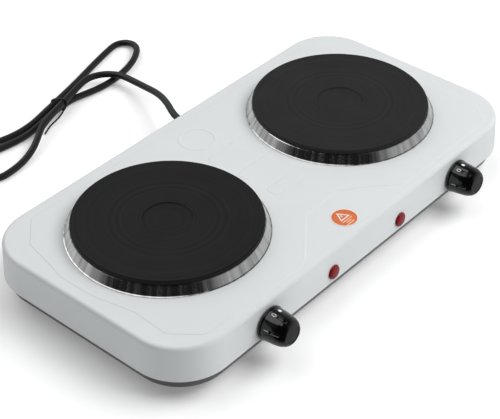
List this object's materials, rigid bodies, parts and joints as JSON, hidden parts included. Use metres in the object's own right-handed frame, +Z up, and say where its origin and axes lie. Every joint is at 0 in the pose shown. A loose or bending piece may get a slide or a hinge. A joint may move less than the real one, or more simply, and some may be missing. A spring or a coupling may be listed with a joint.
{
  "type": "hot plate burner",
  "caption": "Countertop electric hot plate: cast-iron plates side by side on a flat pressed-steel case, with front knobs, pilot lamps and a hanked mains lead.",
  "frame": {"origin": "on the surface the feet stand on, under the middle of the body's bounding box, the loose lead not counted", "axes": "+X to the right as seen from the knob side, +Y from the knobs to the rear wall, +Z up"},
  "size_m": [0.4399, 0.44, 0.065],
  "materials": {
    "shell_paint": "satin light silver-grey coating with a fine metallic grain",
    "pan_paint": "satin mid-grey coating",
    "zinc_steel": "zinc-plated steel, dull",
    "cast_plate": "turned top with fine circular grooves, matt black heat-proof coating",
    "ring_steel": "bright stainless pressing, polished",
    "coil_steel": "dark oxidised heater sheath",
    "bed_ceramic": "pressed refractory powder, matt off-white",
    "block_ceramic": "unglazed steatite, matt off-white",
    "brass_fitting": "plain stamped brass",
    "strip_plastic": "matt ivory thermoplastic",
    "live_insulation": "brown silicone insulation",
    "neutral_insulation": "blue silicone insulation",
    "earth_insulation": "green and yellow silicone insulation",
    "knob_plastic": "glossy black thermoset",
    "cap_plastic": "satin dark grey disc",
    "lens_plastic": "clear dark red plastic, polished",
    "lamp_glass": "clear glass neon tube",
    "foot_rubber": "matt black rubber",
    "cord_pvc": "satin black flexible sheath",
    "tie_plastic": "black plastic-covered wire",
    "plug_plastic": "satin black moulding",
    "pin_metal": "nickel-plated brass, bright",
    "sticker_paper": "orange printed label with a white edge"
  },
  "bodies": {
    "case": {"base_pan": "pan_paint", "base_screws": "zinc_steel", "control_screws": "zinc_steel", "cord_tie": "tie_plastic", "earth_screw": "brass_fitting", "earth_wire": "earth_insulation", "fixing_brackets": "zinc_steel", "foot_screws": "zinc_steel", "front_left_foot": "foot_rubber", "front_right_foot": "foot_rubber", "inner_sheath": "cord_pvc", "left_center_stud": "zinc_steel", "left_clamp_bar": "zinc_steel", "left_cover_plate": "zinc_steel", "left_heating_coil": "coil_steel", "left_hotplate": "cast_plate", "left_insulation_bed": "bed_ceramic", "left_pilot_lamp": "lamp_glass", "left_pilot_lens": "lens_plastic", "left_plate_terminals": "brass_fitting", "left_terminal_block": "block_ceramic", "left_thermostat_body": "block_ceramic", "left_thermostat_contacts": "brass_fitting", "left_thermostat_frame": "zinc_steel", "left_trim_ring": "ring_steel", "live_wires": "live_insulation", "mains_terminal_block": "strip_plastic", "neutral_wires": "neutral_insulation", "pilot_clips": "zinc_steel", "plug_body": "plug_plastic", "plug_pins": "pin_metal", "power_cord": "cord_pvc", "rear_left_foot": "foot_rubber", "rear_right_foot": "foot_rubber", "right_center_stud": "zinc_steel", "right_clamp_bar": "zinc_steel", "right_cover_plate": "zinc_steel", "right_heating_coil": "coil_steel", "right_hotplate": "cast_plate", "right_insulation_bed": "bed_ceramic", "right_pilot_lamp": "lamp_glass", "right_pilot_lens": "lens_plastic", "right_plate_terminals": "brass_fitting", "right_terminal_block": "block_ceramic", "right_thermostat_body": "block_ceramic", "right_thermostat_contacts": "brass_fitting", "right_thermostat_frame": "zinc_steel", "right_trim_ring": "ring_steel", "strain_relief": "cord_pvc", "stud_nuts": "zinc_steel", "terminal_screws": "zinc_steel", "top_shell": "shell_paint", "warning_sticker": "sticker_paper"},
    "left_knob_set": {"left_control_shaft": "zinc_steel", "left_knob": "knob_plastic", "left_knob_cap": "cap_plastic"},
    "right_knob_set": {"right_control_shaft": "zinc_steel", "right_knob": "knob_plastic", "right_knob_cap": "cap_plastic"}
  },
  "joints": [
    {"name": "left_knob_turn", "type": "hinge", "parent": "case", "child": "left_knob_set", "pos_m": [-0.1237, -0.09908, 0.0314], "axis": [0, 0.9987, -0.0506], "range_deg": [0, 290]},
    {"name": "right_knob_turn", "type": "hinge", "parent": "case", "child": "right_knob_set", "pos_m": [0.1237, -0.09908, 0.0314], "axis": [0, 0.9987, -0.0506], "range_deg": [0, 290]}
  ]
}
